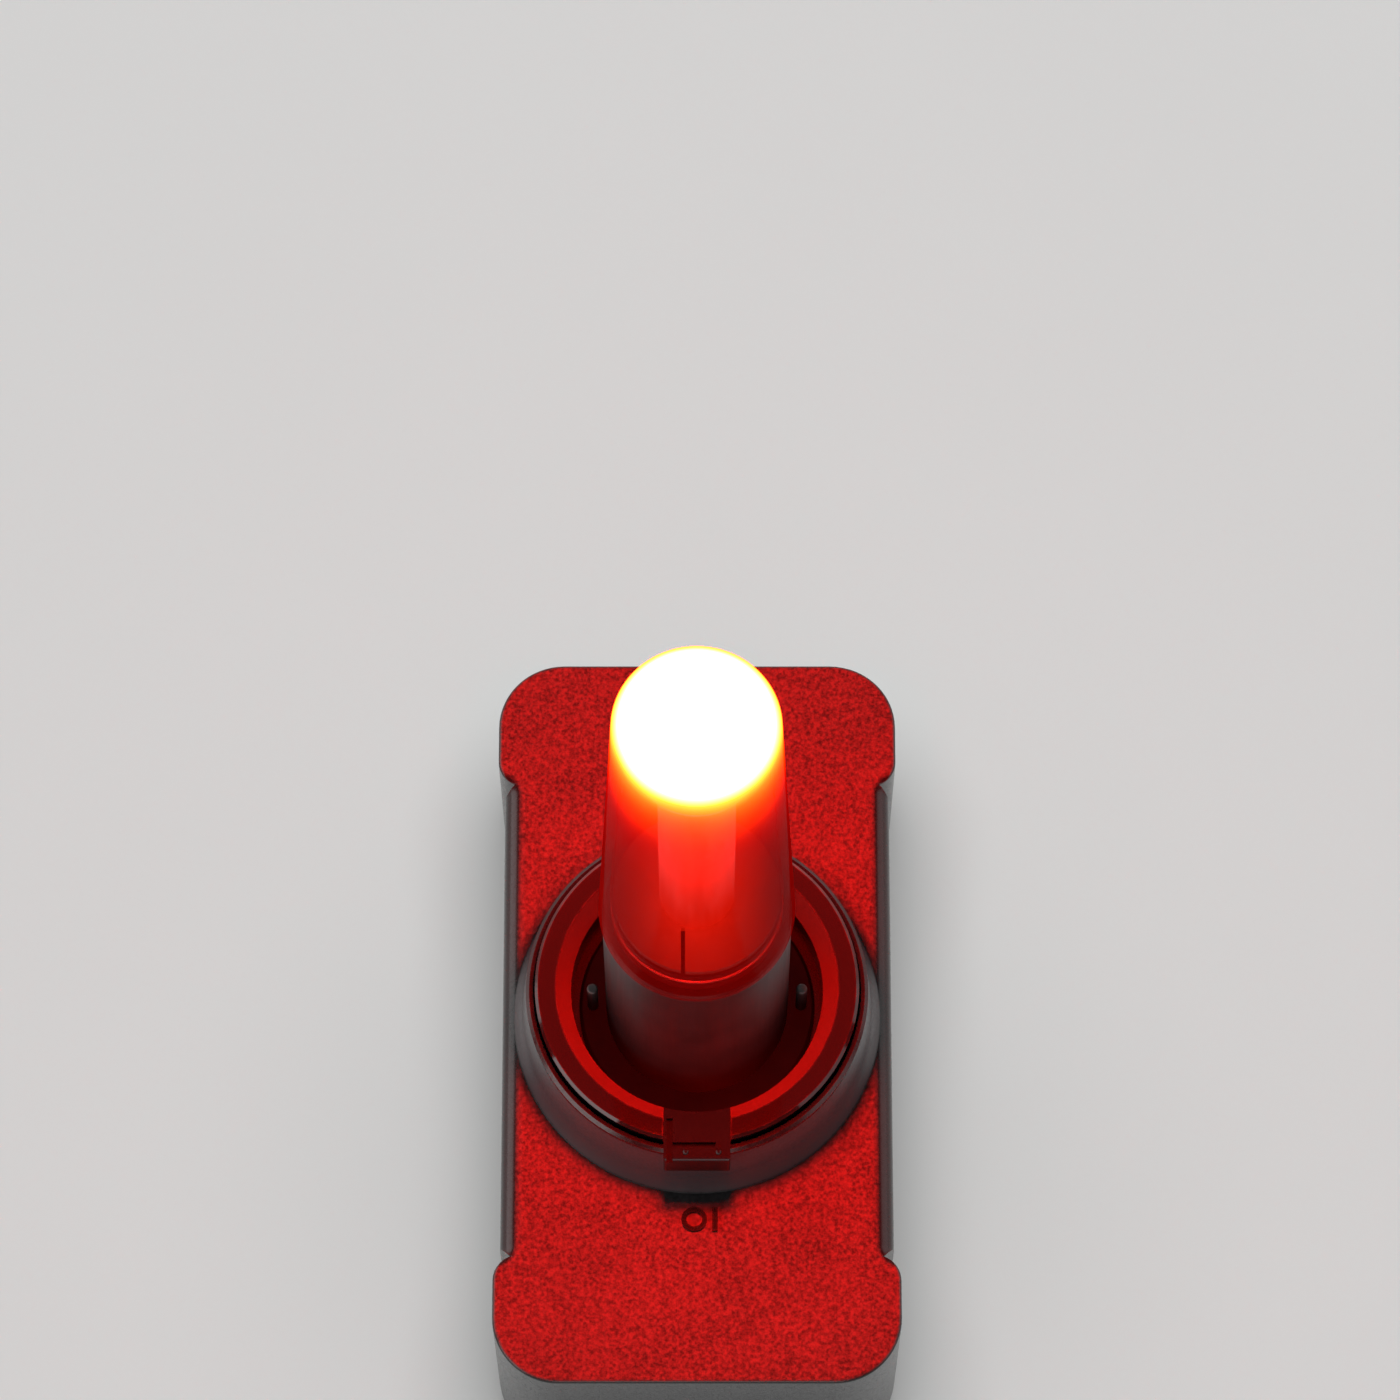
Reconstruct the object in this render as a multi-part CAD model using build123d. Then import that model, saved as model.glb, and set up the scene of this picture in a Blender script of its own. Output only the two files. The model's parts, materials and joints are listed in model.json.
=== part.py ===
from build123d import *
import os
from math import asin, cos, radians, sin

# An upright LED safety flare: a flat battery body, a twist collar on its upper
# face, and a black mast with a red lens tube. Millimetres, +Z up, origin at the
# middle of the surface that it stands on. The mast and collar share the Z axis.
# The front, where the thumb tab points, is -Y.

# Battery body
BODY_WIDTH = 36.5
BODY_LENGTH = 67.8
BODY_CORNER = 6.0
GRIP_WIDTH = 35.3
GRIP_END = 21.3
GRIP_ROUND = 2.0
EDGE_ROUND = 0.4
NOTCH_TIP = (16.75, 22.3)
SHOULDER_END = 24.5
FOOT_HEIGHT = 0.8
PARTING_Z = 11.0
PLATE_Z = 23.4
WALL = 2.0
FLOOR_WALL = 1.8
CAVITY_WIDTH = GRIP_WIDTH - 2 * WALL
CAVITY_LENGTH = BODY_LENGTH - 2 * WALL
CAVITY_CORNER = 4.0
CEILING_Z = PLATE_Z - WALL

# Shell fasteners and feet
COLUMN_X = 13.5
COLUMN_Y = 30.5
COLUMN_RADIUS = 2.0
SCREW_RADIUS = 1.0
SCREW_HEAD_RADIUS = 1.6
SCREW_HEAD_HEIGHT = 1.1
FOOT_SIZE = (17.0, 3.4)
FOOT_Y = 30.9

# Battery bay and door
CELL_RADIUS = 7.1
CELL_LENGTH = 49.2
NUB_RADIUS = 2.7
NUB_LENGTH = 1.2
CELL_X = 7.35
CELL_Z = 10.3
TRAY_SIZE = (30.8, 56.8)
TRAY_WALL = 0.8
TRAY_BOTTOM = 3.4
TRAY_TOP = 18.5
DOOR_OPENING = (30.0, 55.0)
DOOR_GAP = 0.15
DOOR_THICK = FLOOR_WALL
DOOR_TOP = FOOT_HEIGHT + DOOR_THICK
HINGE_Y = -26.15
HINGE_Z = 2.0
HINGE_BARREL = 1.2
PIN_RADIUS = 0.5
RUNNING_FIT = 0.05
LOCK_Y = 24.2
LOCK_RADIUS = 1.0
LOCK_HEAD = 2.4
LUG_Z = (3.4, 5.0)
LUG_HALF = 2.0

# Boss and twist collar
BOSS_FOOT_RADIUS = 16.6
BOSS_RIM_RADIUS = 15.3
BOSS_BORE = 14.62
COLLAR_TOP = PLATE_Z + 9.4
BOSS_RIM_Z = COLLAR_TOP - 1.3
COLLAR_RADIUS = 14.45
COLLAR_CREST = 12.6
COLLAR_OPENING = 11.25
COLLAR_BOTTOM = PLATE_Z + 3.4
LEDGE_Z = PLATE_Z + 2.9
GUIDE_OUTER = 13.0
GUIDE_INNER = 12.2
GUIDE_TOP = PLATE_Z + 6.5
WELL_FLOOR = PLATE_Z + 1.4
RETAINER_Z = PLATE_Z + 5.2
TAB_WIDTH = 6.0
TAB_ROOT = 11.7
TAB_REACH = 16.15
TAB_LIP = 15.65

# Mast and lens
MAST_RADIUS = 8.15
MAST_BORE = 6.4
MAST_TOP = PLATE_Z + 31.8
MAST_FLANGE = 10.6
GASKET_THICK = 0.5
SPIGOT_RADIUS = 7.3
SPIGOT_TOP = MAST_TOP + 3.4
DOWEL_X = 9.35
DOWEL_RADIUS = 0.5
MAST_SCREW_Y = 9.3
LENS_RADIUS = 8.43
LENS_SHOULDER_RADIUS = 6.75
LENS_SHOULDER_Z = PLATE_Z + 77.6
LENS_TOP = PLATE_Z + 80.4
LENS_WALL = 1.05

# Lamp head
POST_RADIUS = 3.2
POST_BORE = 2.5
POST_BASE_RADIUS = 7.1
POST_SLOT = (-1.35, -1.0)
HEAD_BOARD_RADIUS = 5.2
HEAD_BOARD_Z = PLATE_Z + 71.0
HEAD_BOARD_THICK = 1.2
DIFFUSER_RADIUS = 5.5
DIFFUSER_TOP = LENS_TOP - LENS_WALL - 0.4
DIFFUSER_WALL = 0.8
EMITTER_RING = 2.5
WIRE_RADIUS = 0.3
WIRE_X = 0.45

# Circuit board
BOARD_SIZE = (22.0, 32.0)
BOARD_THICK = 1.0
BOARD_Z = 19.2
BOARD_TOP = BOARD_Z + BOARD_THICK
BOARD_HOLE = (9.0, 14.2)
BOARD_COLUMN_RADIUS = 1.8


def rod(radius, z_low, z_high, x=0.0, y=0.0):
    """An upright cylinder between two heights."""
    return Pos(x, y, (z_low + z_high) / 2) * Cylinder(radius, z_high - z_low)


def rod_x(radius, x_low, x_high, y, z):
    """A cylinder that lies along X."""
    return Pos((x_low + x_high) / 2, y, z) * Rot(0, 90, 0) * Cylinder(radius, x_high - x_low)


def rod_y(radius, y_low, y_high, x, z):
    """A cylinder that lies along Y."""
    return Pos(x, (y_low + y_high) / 2, z) * Rot(90, 0, 0) * Cylinder(radius, y_high - y_low)


def block(x_low, x_high, y_low, y_high, z_low, z_high):
    """A box between two corners."""
    middle = Pos((x_low + x_high) / 2, (y_low + y_high) / 2, (z_low + z_high) / 2)
    return middle * Box(x_high - x_low, y_high - y_low, z_high - z_low)


def slab(width, length, corner, z_low, z_high, y=0.0):
    """A rounded rectangle extruded between two heights."""
    return Pos(0, y, z_low) * extrude(RectangleRounded(width, length, corner), z_high - z_low)


def ring(outer, inner, z_low, z_high):
    """An upright tube."""
    return rod(outer, z_low, z_high) - rod(inner, z_low - 1, z_high + 1)


def turned(*points):
    """A solid of revolution about Z from (radius, height) corners."""
    outline = Polyline(*[(r, 0, z) for r, z in points], close=True)
    return revolve(make_face(outline), Axis.Z)


def domed(radius, z_shoulder, z_top, foot):
    """A turned solid with a spherical cap, from a (radius, height) foot upwards."""
    rise = z_top - z_shoulder
    sphere = (radius ** 2 + rise ** 2) / (2 * rise)
    centre = z_top - sphere
    lean = asin(radius / sphere) / 2 if z_shoulder >= centre else radians(45)
    shoulder = (radius, 0, z_shoulder)
    crown = (0, 0, z_top)
    foot_radius, z_foot = foot
    outline = [
        Line((0, 0, z_foot), (foot_radius, 0, z_foot)),
        Line((foot_radius, 0, z_foot), shoulder),
        ThreePointArc(shoulder, (sphere * sin(lean), 0, centre + sphere * cos(lean)), crown),
        Line(crown, (0, 0, z_foot)),
    ]
    return revolve(make_face(Wire(outline)), Axis.Z)


def corners(x, y):
    """The four places that mirror one point in X and Y."""
    return [(sx * x, sy * y) for sx in (-1, 1) for sy in (-1, 1)]


def body_outline():
    """The plan of the body: two wider ends, a notch at each end of both long sides."""
    half_width = BODY_WIDTH / 2
    half_length = BODY_LENGTH / 2
    corner_y = half_length - BODY_CORNER
    corner_x = half_width - BODY_CORNER
    middle = BODY_CORNER * sin(radians(45))
    tip_x, tip_y = NOTCH_TIP
    edges = []
    for sx in (-1, 1):
        edges.append(Line((sx * GRIP_WIDTH / 2, -GRIP_END), (sx * GRIP_WIDTH / 2, GRIP_END)))
        for sy in (-1, 1):
            grip = (sx * GRIP_WIDTH / 2, sy * GRIP_END)
            tip = (sx * tip_x, sy * tip_y)
            shoulder = (sx * half_width, sy * SHOULDER_END)
            side = (sx * half_width, sy * corner_y)
            bend = (sx * (corner_x + middle), sy * (corner_y + middle))
            end = (sx * corner_x, sy * half_length)
            edges.append(Line(grip, tip))
            edges.append(TangentArc(shoulder, tip, tangent=(0, -sy)))
            edges.append(Line(shoulder, side))
            edges.append(ThreePointArc(side, bend, end))
    for sy in (-1, 1):
        edges.append(Line((-corner_x, sy * half_length), (corner_x, sy * half_length)))
    return make_face(Wire(edges))


def body_envelope():
    """The outside of the battery body, from its underside to the plate."""
    body = Pos(0, 0, FOOT_HEIGHT) * extrude(body_outline(), PLATE_Z - FOOT_HEIGHT)
    faces = body.faces().sort_by(Axis.Z)
    body = fillet(faces[0].edges() + faces[-1].edges(), EDGE_ROUND)
    return round_grips(body)


def round_grips(body):
    """Roll the long edges between the notches, and sweep the ends of each roll outwards."""
    half_width = BODY_WIDTH / 2
    reach = half_width - GRIP_WIDTH / 2 + GRIP_ROUND
    for sign in (-1, 1):
        for z_edge, z_in in ((PLATE_Z, -1), (FOOT_HEIGHT, 1)):
            x_axis = sign * (half_width - reach)
            z_axis = z_edge + z_in * GRIP_ROUND
            x_low, x_high = sorted((x_axis, sign * (half_width + 1)))
            z_low, z_high = sorted((z_axis, z_edge - z_in))
            corner = block(x_low, x_high, -GRIP_END, GRIP_END, z_low, z_high)
            body -= corner - rod_y(GRIP_ROUND, -GRIP_END - 1, GRIP_END + 1, x_axis, z_axis)
            for y_end in (-GRIP_END, GRIP_END):
                scoop = rod(reach, z_low, z_high, sign * half_width, y_end)
                body -= scoop - Pos(sign * half_width, y_end, z_axis) * Torus(reach, GRIP_ROUND)
    return body


def boss():
    """The flared turret on the plate that the collar and the mast sit in."""
    foot = (BOSS_FOOT_RADIUS, 0, PLATE_Z - 0.5)
    rise = (BOSS_FOOT_RADIUS, 0, PLATE_Z)
    waist = (BOSS_RIM_RADIUS + 0.35, 0, PLATE_Z + 3.2)
    rim_out = (BOSS_RIM_RADIUS, 0, BOSS_RIM_Z - 0.3)
    rim_top = (BOSS_RIM_RADIUS - 0.3, 0, BOSS_RIM_Z)
    outline = [
        Line(foot, rise),
        ThreePointArc(rise, (BOSS_RIM_RADIUS + 0.72, 0, PLATE_Z + 1.2), waist),
        Line(waist, rim_out),
        Line(rim_out, rim_top),
    ]
    inner = [
        rim_top,
        (BOSS_BORE, 0, BOSS_RIM_Z),
        (BOSS_BORE, 0, LEDGE_Z),
        (GUIDE_OUTER, 0, LEDGE_Z),
        (GUIDE_OUTER, 0, GUIDE_TOP),
        (GUIDE_INNER, 0, GUIDE_TOP),
        (GUIDE_INNER, 0, WELL_FLOOR),
        (0, 0, WELL_FLOOR),
        (0, 0, PLATE_Z - 0.5),
        foot,
    ]
    outline += [Line(start, end) for start, end in zip(inner, inner[1:])]
    turret = revolve(make_face(Wire(outline)), Axis.Z)
    turret -= ring(GUIDE_OUTER + 1, GUIDE_OUTER - 0.35, RETAINER_Z - 0.05, RETAINER_Z + 0.55)
    turret -= ring(GUIDE_OUTER + 1, GUIDE_OUTER - 0.4, PLATE_Z + 3.85, PLATE_Z + 4.6)
    return turret


def mode_marks():
    """Raised O and I marks on the plate in front of the collar."""
    y_mark = -19.0
    height = PLATE_Z + 0.25
    loop = Pos(-0.25, y_mark, PLATE_Z - 0.2) * extrude(Ellipse(1.15, 1.1) - Ellipse(0.72, 0.67), 0.45)
    bar = block(1.35, 1.85, y_mark - 1.1, y_mark + 1.1, PLATE_Z - 0.2, height)
    return loop + bar


def upper_shell():
    shell = body_envelope() & block(-30, 30, -50, 50, PARTING_Z, PLATE_Z + 1)
    shell -= slab(CAVITY_WIDTH, CAVITY_LENGTH, CAVITY_CORNER, PARTING_Z - 1, CEILING_Z)
    shell += boss()
    shell += mode_marks()
    for x, y in corners(COLUMN_X, COLUMN_Y):
        shell += rod(COLUMN_RADIUS, PARTING_Z, CEILING_Z + 0.5, x, y)
        shell -= rod(SCREW_RADIUS, PARTING_Z - 1, CEILING_Z - 2.5, x, y)
    for x, y in corners(*BOARD_HOLE):
        shell += rod(BOARD_COLUMN_RADIUS, BOARD_TOP, CEILING_Z + 0.5, x, y)
        shell -= rod(0.6, BOARD_TOP - 1, CEILING_Z + 0.8, x, y)
    for sign in (-1, 1):
        shell -= rod(DOWEL_RADIUS, PLATE_Z - 0.2, COLLAR_TOP, sign * DOWEL_X)
        shell -= rod(1.6, CEILING_Z - 1, CEILING_Z + 1.4, 0, sign * MAST_SCREW_Y)
        shell -= rod(0.8, CEILING_Z - 1, COLLAR_TOP, 0, sign * MAST_SCREW_Y)
    shell -= rod(1.6, CEILING_Z - 1, COLLAR_TOP)
    shell -= rod(0.8, LEDGE_Z - 2.4, LEDGE_Z + 1, 0, (GUIDE_OUTER + BOSS_BORE) / 2)
    return shell


def lower_shell():
    shell = body_envelope() & block(-30, 30, -50, 50, 0, PARTING_Z)
    shell -= slab(CAVITY_WIDTH, CAVITY_LENGTH, CAVITY_CORNER, DOOR_TOP, PARTING_Z + 1)
    for x, y in corners(COLUMN_X, COLUMN_Y):
        shell += rod(COLUMN_RADIUS, DOOR_TOP - 0.5, PARTING_Z, x, y)
        shell -= rod(SCREW_RADIUS + 0.1, 0, PARTING_Z + 1, x, y)
        shell -= rod(SCREW_HEAD_RADIUS + 0.1, 0, FOOT_HEIGHT + SCREW_HEAD_HEIGHT, x, y)
    shell -= slab(*DOOR_OPENING, 0.3, 0, DOOR_TOP + 1)
    for sign in (-1, 1):
        shell -= slab(*FOOT_SIZE, 1.2, 0, FOOT_HEIGHT + 0.7, sign * FOOT_Y)
    half = DOOR_OPENING[0] / 2
    shell -= rod_x(PIN_RADIUS, -half - 1.3, half + 1.3, HINGE_Y, HINGE_Z)
    shell += lock_lug()
    shell -= gasket_band(PARTING_Z - 0.5, PARTING_Z + 1)
    return shell


def lock_lug():
    """The lug over the free end of the door that the lock screw enters."""
    opening_end = DOOR_OPENING[1] / 2
    lug = block(-LUG_HALF, LUG_HALF, LOCK_Y - 1.9, opening_end + 1.6, *LUG_Z)
    lug += block(-LUG_HALF, LUG_HALF, opening_end, opening_end + 1.6, DOOR_TOP - 0.5, LUG_Z[1])
    return lug - rod(LOCK_RADIUS + 0.3, LUG_Z[0] - 1, LUG_Z[1] + 1, 0, LOCK_Y)


def gasket_band(z_low, z_high):
    """The closed band that the body gasket fills, in the middle of the wall."""
    outer = slab(33.0, 65.6, 4.9, z_low, z_high)
    return outer - slab(32.0, 64.6, 4.4, z_low - 1, z_high + 1)


def cross_recess(x, y, z_low, z_high, size):
    """A cross-head recess."""
    cut = block(x - size, x + size, y - 0.22, y + 0.22, z_low, z_high)
    return cut + block(x - 0.22, x + 0.22, y - size, y + size, z_low, z_high)


def shell_screws():
    screws = []
    head_low = FOOT_HEIGHT
    head_high = FOOT_HEIGHT + SCREW_HEAD_HEIGHT
    for x, y in corners(COLUMN_X, COLUMN_Y):
        head = rod(SCREW_HEAD_RADIUS, head_low, head_high, x, y)
        head = fillet(head.edges().sort_by(Axis.Z)[0], 0.3)
        screw = head + rod(SCREW_RADIUS, head_high - 0.1, CEILING_Z - 3, x, y)
        screws.append(screw - cross_recess(x, y, head_low - 1, head_low + 0.6, 0.95))
    return screws


def rubber_feet():
    feet = []
    for sign in (-1, 1):
        foot = slab(FOOT_SIZE[0] - 0.1, FOOT_SIZE[1] - 0.1, 1.15, 0, FOOT_HEIGHT + 0.7, sign * FOOT_Y)
        feet.append(fillet(foot.faces().sort_by(Axis.Z)[0].edges(), 0.3))
    return feet


def battery_tray():
    width, length = TRAY_SIZE
    tray = slab(width, length, 1.2, TRAY_BOTTOM, TRAY_TOP)
    inner_length = length - 2.0
    tray -= slab(width - 2 * TRAY_WALL, inner_length, 0.6, TRAY_BOTTOM - 1, TRAY_TOP - 1.0)
    rib = block(-0.3, 0.3, -22, 22, CELL_Z + 2.5, TRAY_TOP - 0.5)
    tray += rib
    for sign in (-1, 1):
        x_tab = sign * CELL_X
        tray -= block(x_tab - 1.6, x_tab + 1.6, 26.4, inner_length / 2 + 0.05, TRAY_TOP - 2, TRAY_TOP + 1)
    tray -= block(-LUG_HALF - 0.3, LUG_HALF + 0.3, 20, length, 0, LUG_Z[1] + 0.3)
    return tray


def cell(x, direction):
    """A cylindrical cell whose nub points along +Y or -Y."""
    nub_tip = direction * 26.2
    shoulder = nub_tip - direction * NUB_LENGTH
    base = shoulder - direction * CELL_LENGTH
    low, high = sorted((shoulder, base))
    can = rod_y(CELL_RADIUS, low, high, x, CELL_Z)
    can = fillet(can.edges().filter_by(GeomType.CIRCLE), 0.5)
    low, high = sorted((shoulder - direction, nub_tip))
    return can + rod_y(NUB_RADIUS, low, high, x, CELL_Z)


def contact_plate(x, y_wall, tab):
    """A pressed plate on the bay's end wall, some with a solder tab upwards."""
    low, high = sorted((y_wall, y_wall - (0.4 if y_wall > 0 else -0.4)))
    plate = block(x - 5, x + 5, low, high, CELL_Z - 5, CELL_Z + 5)
    if tab:
        plate += block(x - 1.4, x + 1.4, low, high, CELL_Z + 4, BOARD_TOP - 0.1)
    return plate


def contact_plates():
    wall = TRAY_SIZE[1] / 2 - 1.0
    button = rod_y(2.0, 26.25, wall - 0.3, -CELL_X, CELL_Z)
    return [contact_plate(-CELL_X, wall, True) + button, contact_plate(CELL_X, wall, True)]


def bridge_plate():
    wall = -(TRAY_SIZE[1] / 2 - 1.0)
    bridge = block(-CELL_X - 5, CELL_X + 5, wall, wall + 0.4, CELL_Z - 4, CELL_Z + 4)
    button = rod_y(2.0, wall + 0.3, -26.25, CELL_X, CELL_Z)
    return bridge + button


def contact_springs():
    """Two conical coils that press on the flat ends of the cells."""
    plate_face = TRAY_SIZE[1] / 2 - 1.4
    flat_end = 26.2 - NUB_LENGTH - CELL_LENGTH
    length = plate_face + flat_end - 0.5
    coils = []
    for x, direction in ((CELL_X, 1), (-CELL_X, -1)):
        path = Helix(pitch=length / 2.5, height=length, radius=4.2, cone_angle=-24)
        start = Plane(origin=path @ 0, z_dir=path % 0)
        coil = sweep(start * Circle(0.22), path, is_frenet=True)
        turn = Rot(90, 0, 0) if direction == 1 else Rot(-90, 0, 0)
        coils.append(Pos(x, direction * (plate_face - 0.25), CELL_Z) * turn * coil)
    return coils


def battery_wires():
    return [rod_y(0.4, BOARD_SIZE[1] / 2, TRAY_SIZE[1] / 2 - 1.4, sign * CELL_X, BOARD_Z + 0.5)
            for sign in (-1, 1)]


def battery_door():
    half_x = DOOR_OPENING[0] / 2 - DOOR_GAP
    y_end = DOOR_OPENING[1] / 2 - DOOR_GAP
    door = block(-half_x, half_x, HINGE_Y, y_end, FOOT_HEIGHT, DOOR_TOP)
    far = door.edges().filter_by(Axis.Z).sort_by(Axis.Y)[-2:]
    door = fillet(far, 0.9)
    door += rod_x(HINGE_BARREL, -half_x, half_x, HINGE_Y, HINGE_Z)
    door -= rod_x(PIN_RADIUS + RUNNING_FIT, -half_x - 1, half_x + 1, HINGE_Y, HINGE_Z)
    door -= rod(LOCK_HEAD + RUNNING_FIT, 0, DOOR_TOP - 0.6, 0, LOCK_Y)
    door -= rod(LOCK_RADIUS + RUNNING_FIT, 0, DOOR_TOP + 1, 0, LOCK_Y)
    for step in range(5):
        y_rib = 2.0 + step * 2.2
        door -= block(-7, 7, y_rib, y_rib + 0.9, 0, FOOT_HEIGHT + 0.35)
    return door


def door_pin():
    half = DOOR_OPENING[0] / 2
    return rod_x(PIN_RADIUS, -half - 1.2, half + 1.2, HINGE_Y, HINGE_Z)


def lock_screw():
    """A captive quarter-turn screw with a coin slot."""
    head = rod(LOCK_HEAD, FOOT_HEIGHT + 0.1, DOOR_TOP - 0.62, 0, LOCK_Y)
    screw = head + rod(LOCK_RADIUS, DOOR_TOP - 0.7, LUG_Z[1] - 0.1, 0, LOCK_Y)
    return screw - block(-LOCK_HEAD, LOCK_HEAD, LOCK_Y - 0.4, LOCK_Y + 0.4, 0, FOOT_HEIGHT + 0.6)


def door_gasket():
    outer = slab(29.2, 51.2, 1.2, DOOR_TOP, DOOR_TOP + 0.5, 1.2)
    return outer - slab(27.4, 49.4, 0.6, DOOR_TOP - 1, DOOR_TOP + 2, 1.2)


def circuit_board():
    board = slab(*BOARD_SIZE, 1.5, BOARD_Z, BOARD_TOP)
    for x, y in corners(*BOARD_HOLE):
        board -= rod(0.75, BOARD_Z - 1, BOARD_TOP + 1, x, y)
    return board


def board_screws():
    screws = []
    for x, y in corners(*BOARD_HOLE):
        screw = rod(1.3, BOARD_Z - 0.5, BOARD_Z, x, y) + rod(0.6, BOARD_Z - 0.1, CEILING_Z + 0.3, x, y)
        screws.append(screw)
    return screws


def driver_chip():
    chip = block(-7.5, -3.5, -5.5, -1.5, BOARD_TOP + 0.15, BOARD_TOP + 0.95)
    for sign in (-1, 1):
        for leg in range(4):
            y_leg = -5.0 + leg
            x_out = -5.5 + sign * 2.5
            low, high = sorted((x_out, -5.5 + sign * 1.8))
            chip += block(low, high, y_leg - 0.2, y_leg + 0.2, BOARD_TOP, BOARD_TOP + 0.4)
    return chip


def inductor():
    return slab(4.4, 4.4, 1.0, BOARD_TOP, BOARD_TOP + 1.1, 4.5).moved(Location((5.2, 0, 0)))


def hall_sensor():
    return block(-1.5, 1.5, 11.6, 13.2, BOARD_TOP, BOARD_TOP + 1.0)


def collar():
    """The rotary ring, hollow underneath to run on the guide ring."""
    body = turned(
        (COLLAR_OPENING, COLLAR_TOP - 1.5),
        (COLLAR_CREST, COLLAR_TOP),
        (COLLAR_RADIUS - 0.25, COLLAR_TOP),
        (COLLAR_RADIUS, COLLAR_TOP - 0.25),
        (COLLAR_RADIUS, COLLAR_BOTTOM),
        (GUIDE_OUTER + 0.45, COLLAR_BOTTOM),
        (GUIDE_OUTER + 0.45, COLLAR_TOP - 2.1),
        (GUIDE_INNER - 0.3, COLLAR_TOP - 2.1),
        (GUIDE_INNER - 0.3, PLATE_Z + 4.6),
        (COLLAR_OPENING, PLATE_Z + 4.6),
    )
    body -= ring(GUIDE_OUTER + 0.9, GUIDE_OUTER, RETAINER_Z - 0.15, RETAINER_Z + 0.65)
    half = TAB_WIDTH / 2
    body -= block(-half, half, -COLLAR_RADIUS - 1, -COLLAR_OPENING + 1, COLLAR_TOP - 1.0, COLLAR_TOP + 1)
    body -= rod(1.0, COLLAR_TOP - 3, COLLAR_TOP - 1.4, 0, GUIDE_OUTER - 0.4)
    return body


def thumb_tab():
    """The pointer that a thumb pushes, keyed into the collar from its bevel to its rim."""
    half = TAB_WIDTH / 2 - 0.05
    low = COLLAR_TOP - 1.0
    groove_floor = COLLAR_TOP - 0.55
    tab = block(-half, half, -TAB_REACH, -TAB_ROOT + 1, low, COLLAR_TOP + 0.1)
    tab -= rod(TAB_ROOT, PLATE_Z, COLLAR_TOP + 1)
    lip = block(-half, half, -TAB_REACH, -TAB_LIP + 1, COLLAR_TOP - 3.6, low) - rod(TAB_LIP, PLATE_Z, low)
    tab += lip
    front = tab.faces().sort_by(Axis.Y)[0]
    tab = fillet(front.edges(), 0.3)
    rim = -COLLAR_RADIUS - 0.05
    tab -= block(-half + 0.25, half - 1.3, rim - 0.45, rim, groove_floor, COLLAR_TOP + 1)
    tab -= block(-half + 0.25, -half + 0.8, -TAB_REACH - 1, -TAB_ROOT - 0.6, groove_floor, COLLAR_TOP + 1)
    for x_pip in (-1.0, 1.9):
        tab += Pos(x_pip, -TAB_REACH + 0.75, COLLAR_TOP + 0.1) * Sphere(0.28)
    return tab


def collar_magnet():
    return rod(0.95, COLLAR_TOP - 2.6, COLLAR_TOP - 1.45, 0, GUIDE_OUTER - 0.4)


def collar_retainer():
    """A split wire ring in facing grooves of the guide ring and the collar."""
    clip = ring(GUIDE_OUTER + 0.8, GUIDE_OUTER - 0.3, RETAINER_Z, RETAINER_Z + 0.5)
    return clip - block(-1.2, 1.2, 5, 20, RETAINER_Z - 1, RETAINER_Z + 1)


def torus_at(major, minor, z):
    return Pos(0, 0, z) * Torus(major, minor)


def collar_o_ring():
    return torus_at(GUIDE_OUTER - 0.02, 0.34, PLATE_Z + 4.22)


def detent_ball():
    return Pos(0, (GUIDE_OUTER + BOSS_BORE) / 2, COLLAR_BOTTOM - 0.8) * Sphere(0.7)


def detent_spring():
    y_axis = (GUIDE_OUTER + BOSS_BORE) / 2
    z_low = LEDGE_Z - 2.3
    height = COLLAR_BOTTOM - 1.55 - z_low
    path = Helix(pitch=height / 4, height=height, radius=0.52)
    start = Plane(origin=path @ 0, z_dir=path % 0)
    coil = sweep(start * Circle(0.11), path, is_frenet=True)
    return Pos(0, y_axis, z_low + 0.05) * coil


def mast():
    """The black tube that carries the lens, with a flange at its foot."""
    flange_low = WELL_FLOOR + GASKET_THICK
    body = turned(
        (MAST_BORE, flange_low),
        (MAST_FLANGE, flange_low),
        (MAST_FLANGE, flange_low + 1.2),
        (MAST_FLANGE - 0.3, flange_low + 1.5),
        (MAST_RADIUS, flange_low + 1.5),
        (MAST_RADIUS, MAST_TOP - 0.2),
        (MAST_RADIUS - 0.2, MAST_TOP),
        (SPIGOT_RADIUS, MAST_TOP),
        (SPIGOT_RADIUS, SPIGOT_TOP),
        (MAST_BORE, SPIGOT_TOP),
    )
    body -= ring(SPIGOT_RADIUS + 1, SPIGOT_RADIUS - 0.6, MAST_TOP + 1.2, MAST_TOP + 2.3)
    for sign in (-1, 1):
        body -= rod(DOWEL_RADIUS, flange_low - 1, COLLAR_TOP, sign * DOWEL_X)
        body -= rod(0.8, flange_low - 1, flange_low + 1.2, 0, sign * MAST_SCREW_Y)
    return body


def mast_gasket():
    band = ring(MAST_FLANGE - 0.2, MAST_BORE, WELL_FLOOR, WELL_FLOOR + GASKET_THICK)
    for sign in (-1, 1):
        band -= rod(DOWEL_RADIUS, WELL_FLOOR - 1, COLLAR_TOP, sign * DOWEL_X)
        band -= rod(0.8, WELL_FLOOR - 1, COLLAR_TOP, 0, sign * MAST_SCREW_Y)
    return band


def mast_screws():
    screws = []
    for sign in (-1, 1):
        y = sign * MAST_SCREW_Y
        screw = rod(1.5, CEILING_Z + 0.1, CEILING_Z + 1.4, 0, y)
        screw += rod(0.8, CEILING_Z + 1.3, WELL_FLOOR + GASKET_THICK + 1.1, 0, y)
        screws.append(screw - cross_recess(0, y, CEILING_Z, CEILING_Z + 0.7, 0.9))
    return screws


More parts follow.
